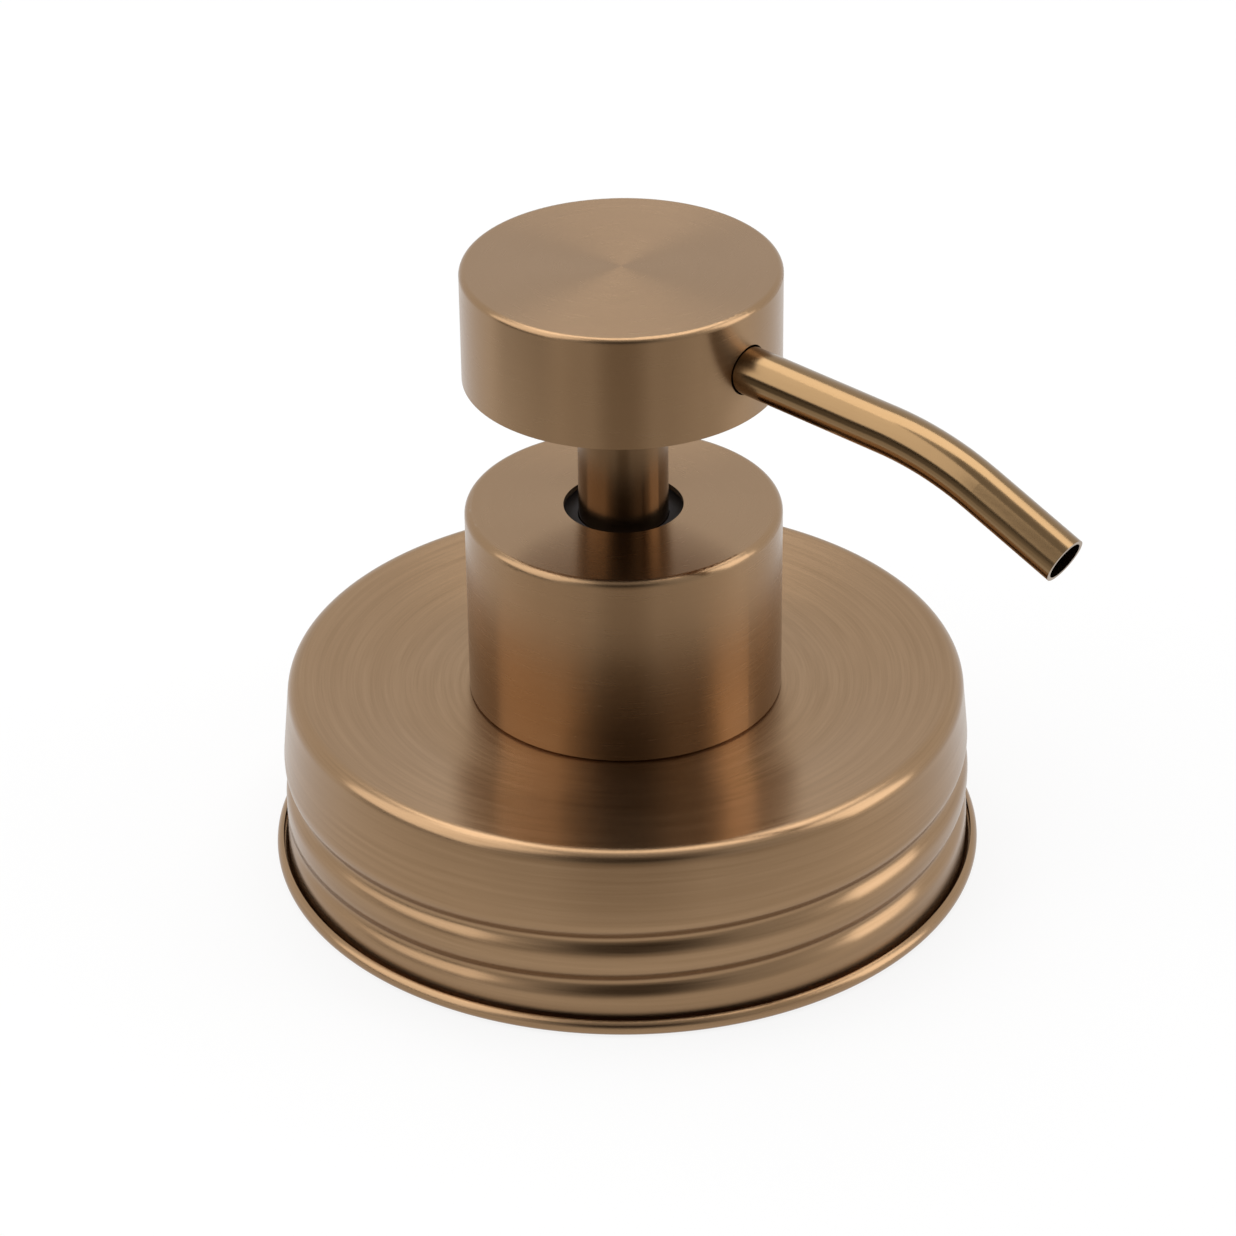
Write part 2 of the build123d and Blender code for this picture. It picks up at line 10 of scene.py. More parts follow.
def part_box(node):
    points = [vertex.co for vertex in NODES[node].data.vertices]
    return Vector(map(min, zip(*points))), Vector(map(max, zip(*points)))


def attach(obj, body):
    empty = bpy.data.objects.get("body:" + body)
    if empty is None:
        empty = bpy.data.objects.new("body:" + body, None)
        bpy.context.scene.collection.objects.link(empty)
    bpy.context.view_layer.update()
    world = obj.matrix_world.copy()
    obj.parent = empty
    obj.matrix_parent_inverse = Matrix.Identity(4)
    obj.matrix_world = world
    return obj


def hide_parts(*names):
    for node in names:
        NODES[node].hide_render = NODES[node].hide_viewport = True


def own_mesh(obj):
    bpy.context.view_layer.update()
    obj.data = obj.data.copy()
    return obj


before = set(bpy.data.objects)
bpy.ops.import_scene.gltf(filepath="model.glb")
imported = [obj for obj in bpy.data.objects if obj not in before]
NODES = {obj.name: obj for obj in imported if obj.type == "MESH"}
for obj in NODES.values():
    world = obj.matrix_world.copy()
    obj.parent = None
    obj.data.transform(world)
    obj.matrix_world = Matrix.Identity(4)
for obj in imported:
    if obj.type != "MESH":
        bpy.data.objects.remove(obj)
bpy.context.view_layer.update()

bl_info = {
    "name": "Soap Pump Dispenser",
    "version": (1, 0, 0),
    "blender": (4, 5, 0),
    "location": "View3D > Sidebar > Soap Pump",
    "description": "Finishes, rolled lid, spring and studio for a screw-on soap pump",
    "category": "Object",
}

MM = 0.001

# Fineness of the meshes made here
CORNER_STEPS = 12
BEAD_STEPS = 36
LID_SEGMENTS = 300
THREAD_STEP = 0.25 * MM
THREAD_ZONE = 14.0 * MM
COIL_STEPS = 40
WIRE_SIDES = 14
SHARP_ANGLE = math.radians(50)

# Corners of the lid's section, and how far above the rim bead its groove sets in
DISH_ROUNDING = 40.0 * MM
EDGE_ROUNDING = 1.5 * MM
WALL_ROUNDING = 4.0 * MM
GROOVE_EASE = 0.6 * MM

# Brushing and grain: lines or specks to a metre, how far lines are drawn out, and shares of colour and gloss
FINE_LINES = 9000.0
FINE_LENGTH = 3.2
BROAD_LINES = 1500.0
BROAD_LENGTH = 1.6
BRONZE_CLOUDS = 60.0
DRAW_LINES = (60.0, 2600.0, 2600.0)
DRAW_SHARE = 0.6
TUBE_CLOUDS = 140.0
STEEL_SPECKS = 900.0
GRAIN_SHADE = 0.85
GRAIN_GLOSS = 0.06

# Values between which most noise lies
NOISE_LOW = 0.3
NOISE_HIGH = 0.7

# Softboxes: degrees round from the camera, degrees up, then distance, width, height and power
SOFTBOXES = {
    "top_softbox": (172, 72, 0.9, 0.9, 0.6, 4.4),
    "left_softbox": (-74, 40, 1.0, 1.0, 1.1, 5.0),
    "right_softbox": (86, 25, 1.0, 0.5, 0.9, 2.8),
}
LAMP_AIM = Vector((0.0, 0.0, 0.03))

# Dark surroundings in the metal: where each sets in and is full, and its share
FRONT_SPREAD = (0.1, 0.85)
FLOOR_FRONT = 0.62
FLOOR_SPOT_SPREAD = (0.94, 0.995)
FLOOR_SPOT = 0.38
ROOM_FRONT = 0.5
ROOM_SPOT_SPREAD = (0.86, 0.98)
ROOM_SPOT = 0.5
LEFT_AZIMUTH = -70.0
LEFT_SPREAD = (0.88, 0.97)
HORIZON_SPREAD = (0.14, 0.26)
HORIZON = 0.95
PAPER_EDGE = (0.92, 1.08)
PAPER = 0.05
FAR_FLOOR_SPREAD = (0.135, 0.18)
FAR_FLOOR = 0.97
WHITE = (1.0, 1.0, 1.0, 1.0)
DIM_ROOM = (0.4, 0.4, 0.4, 1.0)

# Floor and camera
FLOOR_RADIUS = 4.0
FLOOR_SEGMENTS = 96
FLOOR_GLOW = 0.82
AIM_YAW = math.radians(0.089)
AIM_PITCH = math.radians(0.24)
SENSOR_WIDTH = 36.0
VIEW_DEPTH = 20.0


# Settings that a user would change

class SoapPumpLidSizes(bpy.types.PropertyGroup):
    """Sizes of the pressed lid and its rolled thread."""

    rim_radius: bpy.props.FloatProperty(
        name="Rim Radius", description="Outside of the rolled rim bead", default=0.0375, unit="LENGTH")
    wall_radius: bpy.props.FloatProperty(
        name="Wall Radius", description="Outside of the wall where the thread is rolled",
        default=0.03625, unit="LENGTH")
    top_radius: bpy.props.FloatProperty(
        name="Top Radius", description="Outside of the wall at the top edge", default=0.0354, unit="LENGTH")
    panel_radius: bpy.props.FloatProperty(
        name="Panel Radius", description="Flat middle that the collar stands on",
        default=0.0230, unit="LENGTH")
    hole_radius: bpy.props.FloatProperty(
        name="Hole Radius", description="Hole for the neck", default=0.0126, unit="LENGTH")
    height: bpy.props.FloatProperty(
        name="Height", description="Rim plane to the corner of the top edge", default=0.02075, unit="LENGTH")
    dish_depth: bpy.props.FloatProperty(
        name="Dish Depth", description="How far the flat middle lies below the edge",
        default=0.00155, unit="LENGTH")
    wall_break: bpy.props.FloatProperty(
        name="Wall Break", description="Height where the wall becomes upright", default=0.0120, unit="LENGTH")
    sheet: bpy.props.FloatProperty(
        name="Sheet", description="Thickness of the sheet", default=0.0004, unit="LENGTH")
    bead_turn: bpy.props.FloatProperty(
        name="Bead Turn", description="How far the rim is rolled round",
        default=math.radians(262), subtype="ANGLE")
    bead_flat: bpy.props.FloatProperty(
        name="Bead Flat", description="Depth of the flat that the rim stands on",
        default=0.00005, unit="LENGTH")
    thread_pitch: bpy.props.FloatProperty(
        name="Thread Pitch", description="Rise of the rolled thread in one turn",
        default=0.00508, unit="LENGTH")
    thread_start: bpy.props.FloatProperty(
        name="Thread Start", description="Height of the groove where it begins",
        default=0.0040, unit="LENGTH")
    thread_angle: bpy.props.FloatProperty(
        name="Thread Angle", description="Where the groove begins, round from the nozzle",
        default=math.radians(-146.6), subtype="ANGLE")
    thread_turns: bpy.props.FloatProperty(
        name="Thread Turns", description="Length of the groove in turns", default=1.62)
    thread_depth: bpy.props.FloatProperty(
        name="Thread Depth", description="How deep the groove is rolled", default=0.0008, unit="LENGTH")
    thread_width: bpy.props.FloatProperty(
        name="Thread Width", description="Half width of the groove", default=0.0010, unit="LENGTH")
    thread_fade: bpy.props.FloatProperty(
        name="Thread Fade", description="Turns over which the groove begins and ends", default=0.16)


class SoapPumpSpringSizes(bpy.types.PropertyGroup):
    """Sizes of the return spring."""

    turns: bpy.props.FloatProperty(name="Turns", description="Turns of wire", default=7.0)
    radius: bpy.props.FloatProperty(
        name="Radius", description="Radius of the coil's centre line", default=0.0058, unit="LENGTH")
    wire: bpy.props.FloatProperty(
        name="Wire", description="Radius of the wire", default=0.00055, unit="LENGTH")
    stroke: bpy.props.FloatProperty(
        name="Stroke", description="How far the pump is pressed", default=0.014, unit="LENGTH")


class SoapPumpFinish(bpy.types.PropertyGroup):
    """Colours and gloss of the finishes."""

    bronze_light: bpy.props.FloatVectorProperty(
        name="Bronze Light", description="Bronze where the brushing is bright", subtype="COLOR", size=3,
        min=0.0, max=1.0, default=(0.335, 0.215, 0.122))
    bronze_dark: bpy.props.FloatVectorProperty(
        name="Bronze Dark", description="Bronze where the coating is deep", subtype="COLOR", size=3,
        min=0.0, max=1.0, default=(0.270, 0.168, 0.090))
    nozzle_light: bpy.props.FloatVectorProperty(
        name="Nozzle Light", description="Bronze of the bent tube", subtype="COLOR", size=3,
        min=0.0, max=1.0, default=(0.250, 0.159, 0.079))
    nozzle_dark: bpy.props.FloatVectorProperty(
        name="Nozzle Dark", description="Darker draw lines of the bent tube", subtype="COLOR", size=3,
        min=0.0, max=1.0, default=(0.210, 0.130, 0.062))
    # The stem's two bronzes are darker than the collar's and head's: painted shade for the shade under the
    # head and round the stem's foot.
    stem_shaded_light: bpy.props.FloatVectorProperty(
        name="Stem Light", description="Bronze of the stem where the brushing is bright",
        subtype="COLOR", size=3,
        min=0.0, max=1.0, default=(0.20, 0.125, 0.068))
    stem_shaded_dark: bpy.props.FloatVectorProperty(
        name="Stem Dark", description="Bronze of the stem where the coating is deep", subtype="COLOR", size=3,
        min=0.0, max=1.0, default=(0.155, 0.094, 0.049))
    dark_plastic: bpy.props.FloatVectorProperty(
        name="Dark Plastic", description="Moulded neck, collar insert and guide", subtype="COLOR", size=3,
        min=0.0, max=1.0, default=(0.070, 0.063, 0.075))
    pale_plastic: bpy.props.FloatVectorProperty(
        name="Pale Plastic", description="Pump barrel and piston", subtype="COLOR", size=3,
        min=0.0, max=1.0, default=(0.72, 0.72, 0.68))
    rubber: bpy.props.FloatVectorProperty(
        name="Rubber", description="Gaskets and seals", subtype="COLOR", size=3,
        min=0.0, max=1.0, default=(0.03, 0.028, 0.027))
    steel: bpy.props.FloatVectorProperty(
        name="Steel", description="Spring and valve balls", subtype="COLOR", size=3,
        min=0.0, max=1.0, default=(0.62, 0.62, 0.63))


class SoapPumpStudio(bpy.types.PropertyGroup):
    """Camera and studio."""

    camera_azimuth: bpy.props.FloatProperty(
        name="Camera Azimuth", description="Where the camera stands round the lid",
        default=math.radians(39.71), subtype="ANGLE")
    camera_elevation: bpy.props.FloatProperty(
        name="Camera Elevation", description="Height of the camera above the horizon",
        default=math.radians(31.03), subtype="ANGLE")
    camera_distance: bpy.props.FloatProperty(
        name="Camera Distance", description="Camera to the point that it looks at",
        default=0.4594, unit="LENGTH")
    camera_roll: bpy.props.FloatProperty(
        name="Camera Roll", description="Tilt of the picture", default=math.radians(0.629), subtype="ANGLE")
    look_height: bpy.props.FloatProperty(
        name="Look Height", description="Height of the point looked at", default=0.0244, unit="LENGTH")
    lens: bpy.props.FloatProperty(
        name="Lens", description="Focal length in millimetres on a 36 mm sensor", default=127.72)
    front_floor: bpy.props.FloatVectorProperty(
        name="Front Floor", description="Look of the floor on the camera's side in the metal",
        subtype="COLOR", size=3,
        min=0.0, max=1.0, default=(0.26, 0.21, 0.155))
    far_floor: bpy.props.FloatVectorProperty(
        name="Far Floor", description="Look of the floor farther off in the metal", subtype="COLOR", size=3,
        min=0.0, max=1.0, default=(0.06, 0.045, 0.03))
    paper_radius: bpy.props.FloatProperty(
        name="Paper Radius", description="White patch of floor round the lid", default=0.074, unit="LENGTH")
    front_room: bpy.props.FloatVectorProperty(
        name="Front Room", description="Look of the room on the camera's side in the metal",
        subtype="COLOR", size=3,
        min=0.0, max=1.0, default=(0.05, 0.04, 0.03))
    floor: bpy.props.FloatVectorProperty(
        name="Floor", description="Colour of the floor", subtype="COLOR", size=3,
        min=0.0, max=1.0, default=(0.92, 0.92, 0.92))


def settings(group):
    """The scene's settings of one kind."""
    return getattr(bpy.context.scene, "soap_pump_" + group)


# Small helpers for node trees

def new_node(tree, kind, **values):
    """A node of that kind with its properties set."""
    node = tree.nodes.new(kind)
    for name, value in values.items():
        setattr(node, name, value)
    return node


def feed(tree, socket, source):
    """Sets a socket to a value, or links it to another socket."""
    if isinstance(source, bpy.types.NodeSocket):
        tree.links.new(source, socket)
    else:
        socket.default_value = source


def math_node(tree, operation, first, second=0.0, clamp=False):
    """The result of one sum on two values."""
    node = new_node(tree, "ShaderNodeMath", operation=operation, use_clamp=clamp)
    feed(tree, node.inputs[0], first)
    feed(tree, node.inputs[1], second)
    return node.outputs[0]


def map_range(tree, value, low, high, new_low, new_high, smooth=False):
    """A value moved from one range to another, and kept inside it."""
    node = new_node(tree, "ShaderNodeMapRange", interpolation_type="SMOOTHSTEP" if smooth else "LINEAR")
    for socket, source in zip(node.inputs[:5], (value, low, high, new_low, new_high)):
        feed(tree, socket, source)
    return node.outputs[0]


def mix_colour(tree, share, first, second):
    """One colour blended into another."""
    node = new_node(tree, "ShaderNodeMix", data_type="RGBA")
    feed(tree, node.inputs[0], share)
    feed(tree, node.inputs[6], first)
    feed(tree, node.inputs[7], second)
    return node.outputs[2]


def combine(tree, x, y, z):
    """A vector from three values."""
    node = new_node(tree, "ShaderNodeCombineXYZ")
    for socket, source in zip(node.inputs, (x, y, z)):
        feed(tree, socket, source)
    return node.outputs[0]


def rgba(colour):
    """A colour property as four numbers."""
    return (colour[0], colour[1], colour[2], 1.0)


def new_material(name):
    """An empty material with its tree, main shader and object coordinates."""
    material = bpy.data.materials.new(name)
    material.use_nodes = True
    tree = material.node_tree
    tree.nodes.clear()
    output = new_node(tree, "ShaderNodeOutputMaterial")
    shader = new_node(tree, "ShaderNodeBsdfPrincipled")
    tree.links.new(shader.outputs[0], output.inputs[0])
    where = new_node(tree, "ShaderNodeTexCoord").outputs["Object"]
    return material, tree, shader, where


def noise(tree, vector, scale, detail):
    """Plain noise at that scale."""
    node = new_node(tree, "ShaderNodeTexNoise")
    feed(tree, node.inputs["Vector"], vector)
    node.inputs["Scale"].default_value = scale
    node.inputs["Detail"].default_value = detail
    return node.outputs[0]


def round_streaks(tree, where, lines, length):
    """Noise drawn out into fine lines that run round the upright axis."""
    part = new_node(tree, "ShaderNodeSeparateXYZ")
    tree.links.new(where, part.inputs[0])
    flat = combine(tree, part.outputs[0], part.outputs[1], 0.0)
    radius = new_node(tree, "ShaderNodeVectorMath", operation="LENGTH")
    tree.links.new(flat, radius.inputs[0])
    heading = new_node(tree, "ShaderNodeVectorMath", operation="NORMALIZE")
    tree.links.new(flat, heading.inputs[0])
    turn = new_node(tree, "ShaderNodeSeparateXYZ")
    tree.links.new(heading.outputs[0], turn.inputs[0])
    along_x = math_node(tree, "MULTIPLY", turn.outputs[0], length)
    along_y = math_node(tree, "MULTIPLY", turn.outputs[1], length)
    across = math_node(tree, "MULTIPLY", radius.outputs["Value"], lines)
    node = new_node(tree, "ShaderNodeTexNoise", noise_dimensions="4D")
    tree.links.new(combine(tree, along_x, along_y, across), node.inputs["Vector"])
    tree.links.new(math_node(tree, "MULTIPLY", part.outputs[2], lines), node.inputs["W"])
    node.inputs["Scale"].default_value = 1.0
    node.inputs["Detail"].default_value = 2.0
    return node.outputs[0]


def round_tangent(tree, where):
    """The direction of brushing round the upright axis, in world space."""
    part = new_node(tree, "ShaderNodeSeparateXYZ")
    tree.links.new(where, part.inputs[0])
    back = math_node(tree, "MULTIPLY", part.outputs[1], -1.0)
    turn = new_node(
        tree, "ShaderNodeVectorTransform", vector_type="VECTOR", convert_from="OBJECT", convert_to="WORLD")
    tree.links.new(combine(tree, back, part.outputs[0], 0.0), turn.inputs[0])
    return turn.outputs[0]


# Materials

def set_roughness(tree, shader, pattern, low, high):
    """Roughness that follows a pattern between two values."""
    tree.links.new(map_range(tree, pattern, NOISE_LOW, NOISE_HIGH, low, high), shader.inputs["Roughness"])


def set_bump(tree, shader, pattern, strength, distance):
    """Faint relief that follows a pattern."""
    bump = new_node(tree, "ShaderNodeBump")
    bump.inputs["Strength"].default_value = strength
    bump.inputs["Distance"].default_value = distance
    tree.links.new(pattern, bump.inputs["Height"])
    tree.links.new(bump.outputs[0], shader.inputs["Normal"])


def set_speckled(tree, shader, speck, colour):
    """A colour with slightly darker specks."""
    darker = rgba([part * GRAIN_SHADE for part in colour])
    tree.links.new(mix_colour(tree, speck, darker, rgba(colour)), shader.inputs["Base Color"])


def brushed_bronze(name, dark, light, roughness, anisotropy, streaks=0.42, reach=0.5):
    """Bronze-coated sheet, brushed in circles round the axis. A short reach makes the streaks clear."""
    material, tree, shader, where = new_material(name)
    fine = round_streaks(tree, where, FINE_LINES, FINE_LENGTH)
    broad = round_streaks(tree, where, BROAD_LINES, BROAD_LENGTH)
    cloud = noise(tree, where, BRONZE_CLOUDS, 3.0)
    depth = math_node(tree, "MULTIPLY", cloud, 1.0 - streaks)
    for lines in (fine, broad):
        clear_lines = map_range(tree, lines, 0.5 - reach, 0.5 + reach, 0.0, 1.0)
        part = math_node(tree, "MULTIPLY", clear_lines, streaks / 2)
        depth = math_node(tree, "ADD", depth, part, clamp=True)
    tree.links.new(mix_colour(tree, depth, rgba(dark), rgba(light)), shader.inputs["Base Color"])
    set_roughness(tree, shader, fine, *roughness)
    shader.inputs["Metallic"].default_value = 1.0
    shader.inputs["Anisotropic"].default_value = anisotropy
    shader.inputs["Anisotropic Rotation"].default_value = 0.25
    tree.links.new(round_tangent(tree, where), shader.inputs["Tangent"])
    set_bump(tree, shader, fine, 0.005, 0.03 * MM)
    return material


def drawn_bronze():
    """Bronze-coated tube with faint lines along its length."""
    finish = settings("finish")
    material, tree, shader, where = new_material("drawn_bronze")
    mapping = new_node(tree, "ShaderNodeMapping")
    tree.links.new(where, mapping.inputs["Vector"])
    mapping.inputs["Scale"].default_value = DRAW_LINES
    lines = noise(tree, mapping.outputs[0], 1.0, 3.0)
    cloud = noise(tree, where, TUBE_CLOUDS, 2.0)
    drawn = math_node(tree, "MULTIPLY", lines, DRAW_SHARE)
    depth = math_node(tree, "ADD", drawn, math_node(tree, "MULTIPLY", cloud, 1.0 - DRAW_SHARE))
    colour = mix_colour(tree, depth, rgba(finish.nozzle_dark), rgba(finish.nozzle_light))
    tree.links.new(colour, shader.inputs["Base Color"])
    set_roughness(tree, shader, lines, 0.15, 0.19)
    shader.inputs["Metallic"].default_value = 1.0
    return material


def moulded_plastic(name, colour, roughness, grain):
    """Moulded plastic with a faint grain."""
    material, tree, shader, where = new_material(name)
    speck = noise(tree, where, grain, 3.0)
    set_speckled(tree, shader, speck, colour)
    set_roughness(tree, shader, speck, roughness - GRAIN_GLOSS, roughness + GRAIN_GLOSS)
    set_bump(tree, shader, speck, 0.05, 0.02 * MM)
    return material


def bright_steel():
    """Polished wire and balls."""
    material, tree, shader, where = new_material("bright_steel")
    speck = noise(tree, where, STEEL_SPECKS, 2.0)
    set_speckled(tree, shader, speck, settings("finish").steel)
    set_roughness(tree, shader, speck, 0.14, 0.22)
    shader.inputs["Metallic"].default_value = 1.0
    return material


def dress(node_name, material):
    """Gives a CAD piece its finish."""
    piece = NODES[node_name]
    piece.data.materials.clear()
    piece.data.materials.append(material)


def material_once(name, make):
    """The material of that name, made the first time that it is asked for."""
    return bpy.data.materials.get(name) or make()


def sheet_bronze():
    """Satin brushed bronze of the collar and head."""
    finish = settings("finish")
    return material_once("sheet_bronze", lambda: brushed_bronze(
        "sheet_bronze", finish.bronze_dark, finish.bronze_light, roughness=(0.235, 0.275), anisotropy=0.88))


def lid_bronze():
    """Glossier bronze of the lid, with clearer streaks."""
    finish = settings("finish")
    return material_once("lid_bronze", lambda: brushed_bronze(
        "lid_bronze", finish.bronze_dark, finish.bronze_light, roughness=(0.205, 0.265), anisotropy=0.86,
        streaks=0.8, reach=0.13))


def stem_painted_shade_bronze():
    """Darker bronze of the stem: painted shade for the shade under the head."""
    finish = settings("finish")
    return material_once("stem_painted_shade_bronze", lambda: brushed_bronze(
        "stem_painted_shade_bronze", finish.stem_shaded_dark, finish.stem_shaded_light, roughness=(0.19, 0.23), anisotropy=0.85))


def dark_plastic():
    """Satin plastic of the neck and inner fittings."""
    colour = settings("finish").dark_plastic
    return material_once("dark_plastic", lambda: moulded_plastic(
        "dark_plastic", colour, roughness=0.38, grain=1400.0))


def pale_plastic():
    """Natural plastic of the barrel and piston."""
    colour = settings("finish").pale_plastic
    return material_once("pale_plastic", lambda: moulded_plastic(
        "pale_plastic", colour, roughness=0.42, grain=700.0))


def gasket_rubber():
    """Soft matte rubber of the gaskets."""
    colour = settings("finish").rubber
    return material_once("gasket_rubber", lambda: moulded_plastic(
        "gasket_rubber", colour, roughness=0.62, grain=1800.0))


def spring_steel():
    """Bright steel of the spring and balls."""
    return material_once("bright_steel", bright_steel)


# Mesh helpers

def rounded_line(points, radii, steps):
    """Points of a line with its corners rounded. The end corners have no radius."""
    line = [Vector(points[0])]
    for before, corner, after, radius in zip(points, points[1:], points[2:], radii):
        corner = Vector(corner)
        to_before = (Vector(before) - corner).normalized()
        to_after = (Vector(after) - corner).normalized()
        half = to_before.angle(to_after) / 2
        reach = radius / math.tan(half)
        centre = corner + (to_before + to_after).normalized() * (radius / math.sin(half))
        first = corner + to_before * reach - centre
        last = corner + to_after * reach - centre
        sweep = first.angle(last)
        for i in range(steps + 1):
            share = i / steps
            turn = math.sin(sweep * (1 - share)) * first + math.sin(sweep * share) * last
            line.append(centre + turn / math.sin(sweep))
    line.append(Vector(points[-1]))
    return line


def divided(line, longest, below):
    """The line with its long straight runs below a height cut into short ones."""
    result = [line[0]]
    for start, end in zip(line, line[1:]):
        pieces = 1
        if min(start.y, end.y) < below:
            pieces = max(1, math.ceil((end - start).length / longest))
        result += [start.lerp(end, (i + 1) / pieces) for i in range(pieces)]
    return result


def sheet_section(line, thickness):
    """Closed section of a sheet that lies on the right of a line."""
    other = []
    for i, point in enumerate(line):
        before = line[max(i - 1, 0)]
        after = line[min(i + 1, len(line) - 1)]
        along = (after - before).normalized()
        other.append(point + Vector((along.y, -along.x)) * thickness)
    return line + other[::-1]


def turned_mesh(name, section, segments):
    """A closed section turned round the upright axis."""
    build = bmesh.new()
    rings = []
    for i in range(segments):
        angle = 2 * math.pi * i / segments
        x, y = math.cos(angle), math.sin(angle)
        rings.append([build.verts.new((p.x * x, p.x * y, p.y)) for p in section])
    count = len(section)
    for i in range(segments):
        ring, after = rings[i], rings[(i + 1) % segments]
        for k in range(count):
            build.faces.new((ring[k], ring[(k + 1) % count], after[(k + 1) % count], after[k]))
    bmesh.ops.remove_doubles(build, verts=build.verts, dist=1e-7)
    bmesh.ops.recalc_face_normals(build, faces=build.faces)
    mesh = bpy.data.meshes.new(name)
    build.to_mesh(mesh)
    build.free()
    return mesh


def new_piece(name, mesh):
    """An object at the origin that holds a mesh."""
    piece = bpy.data.objects.new(name, mesh)
    bpy.context.scene.collection.objects.link(piece)
    return piece


def new_tree(name, inputs):
    """A geometry tree with one mesh in, one out and named inputs."""
    tree = bpy.data.node_groups.new(name, "GeometryNodeTree")
    tree.interface.new_socket("Geometry", in_out="INPUT", socket_type="NodeSocketGeometry")
    for label, kind in inputs:
        tree.interface.new_socket(label, in_out="INPUT", socket_type="NodeSocket" + kind)
    tree.interface.new_socket("Geometry", in_out="OUTPUT", socket_type="NodeSocketGeometry")
    start = new_node(tree, "NodeGroupInput")
    end = new_node(tree, "NodeGroupOutput")
    return tree, start.outputs, end.inputs


def finish_tree(tree, geometry, material, end):
    """Ends a tree with real geometry and its material."""
    real = new_node(tree, "GeometryNodeRealizeInstances")
    paint = new_node(tree, "GeometryNodeSetMaterial")
    tree.links.new(geometry, real.inputs[0])
    tree.links.new(real.outputs[0], paint.inputs[0])
    feed(tree, paint.inputs["Material"], material)
    tree.links.new(paint.outputs[0], end[0])


def run_tree(piece, tree, values):
    """Runs a tree on a piece and keeps the result as its plain mesh."""
    modifier = piece.modifiers.new(tree.name, "NODES")
    modifier.node_group = tree
    for item in tree.interface.items_tree:
        if item.in_out == "INPUT" and item.name in values:
            modifier[item.identifier] = values[item.name]
    graph = bpy.context.evaluated_depsgraph_get()
    mesh = bpy.data.meshes.new_from_object(piece.evaluated_get(graph))
    piece.modifiers.remove(modifier)
    piece.data = mesh
    if not mesh.polygons:
        raise RuntimeError(piece.name + " came out empty")
    mesh.shade_smooth()
    mesh.set_sharp_from_angle(angle=SHARP_ANGLE)
    return piece


# Geometry trees

def rolled_thread_tree(material):
    """Presses a helical groove into the wall of a turned lid."""
    inputs = [(label, "Float") for label in (
        "Pitch", "Start Height", "Start Angle", "Turns", "Depth", "Width", "Fade", "Floor")]
    tree, given, end = new_tree("Rolled Thread", inputs)
    place = new_node(tree, "GeometryNodeInputPosition").outputs[0]
    part = new_node(tree, "ShaderNodeSeparateXYZ")
    tree.links.new(place, part.inputs[0])
    flat = combine(tree, part.outputs[0], part.outputs[1], 0.0)
    heading = new_node(tree, "ShaderNodeVectorMath", operation="NORMALIZE")
    tree.links.new(flat, heading.inputs[0])
    angle = math_node(tree, "ARCTAN2", part.outputs[1], part.outputs[0])
    angle = math_node(tree, "SUBTRACT", angle, given["Start Angle"])
    turn = math_node(tree, "FRACT", math_node(tree, "DIVIDE", angle, 2 * math.pi))
    groove = None
    for lap in (0, 1):
        along = math_node(tree, "ADD", turn, float(lap))
        rise = math_node(tree, "MULTIPLY", along, given["Pitch"])
        centre = math_node(tree, "ADD", rise, given["Start Height"])
        away = math_node(tree, "DIVIDE", math_node(tree, "SUBTRACT", part.outputs[2], centre), given["Width"])
        square = math_node(tree, "MULTIPLY", away, away)
        bell = math_node(tree, "EXPONENT", math_node(tree, "MULTIPLY", square, -1.0))
        begin = map_range(tree, along, 0.0, given["Fade"], 0.0, 1.0, smooth=True)
        left = math_node(tree, "SUBTRACT", given["Turns"], along)
        stop = map_range(tree, left, 0.0, given["Fade"], 0.0, 1.0, smooth=True)
        bell = math_node(tree, "MULTIPLY", bell, math_node(tree, "MULTIPLY", begin, stop))
        groove = bell if groove is None else math_node(tree, "ADD", groove, bell)
    clear = math_node(tree, "SUBTRACT", part.outputs[2], given["Floor"])
    on_wall = map_range(tree, clear, 0.0, GROOVE_EASE, 0.0, 1.0, smooth=True)
    push = math_node(tree, "MULTIPLY", math_node(tree, "MULTIPLY", groove, on_wall), given["Depth"])
    push = math_node(tree, "MULTIPLY", push, -1.0)
    shift = new_node(tree, "ShaderNodeVectorMath", operation="SCALE")
    tree.links.new(heading.outputs[0], shift.inputs[0])
    tree.links.new(push, shift.inputs["Scale"])
    move = new_node(tree, "GeometryNodeSetPosition")
    tree.links.new(given["Geometry"], move.inputs["Geometry"])
    tree.links.new(shift.outputs[0], move.inputs["Offset"])
    finish_tree(tree, move.outputs[0], material, end)
    return tree


def coil_tree(material):
    """Winds one round wire into a coil."""
    inputs = [(label, "Float") for label in ("Turns", "Radius", "Wire", "Height", "Foot")]
    tree, given, end = new_tree("Coil Spring", inputs)
    coil = new_node(tree, "GeometryNodeCurveSpiral")
    coil.inputs["Resolution"].default_value = COIL_STEPS
    tree.links.new(given["Turns"], coil.inputs["Rotations"])
    tree.links.new(given["Radius"], coil.inputs["Start Radius"])
    tree.links.new(given["Radius"], coil.inputs["End Radius"])
    tree.links.new(given["Height"], coil.inputs["Height"])
    ring = new_node(tree, "GeometryNodeCurvePrimitiveCircle", mode="RADIUS")
    ring.inputs["Resolution"].default_value = WIRE_SIDES
    tree.links.new(given["Wire"], ring.inputs["Radius"])
    wire = new_node(tree, "GeometryNodeCurveToMesh")
    tree.links.new(coil.outputs[0], wire.inputs["Curve"])
    tree.links.new(ring.outputs[0], wire.inputs["Profile Curve"])
    wire.inputs["Fill Caps"].default_value = True
    lift = new_node(tree, "GeometryNodeSetPosition")
    tree.links.new(wire.outputs[0], lift.inputs["Geometry"])
    tree.links.new(combine(tree, 0.0, 0.0, given["Foot"]), lift.inputs["Offset"])
    finish_tree(tree, lift.outputs[0], material, end)
    return tree


# Operators, one for each piece or group of like pieces

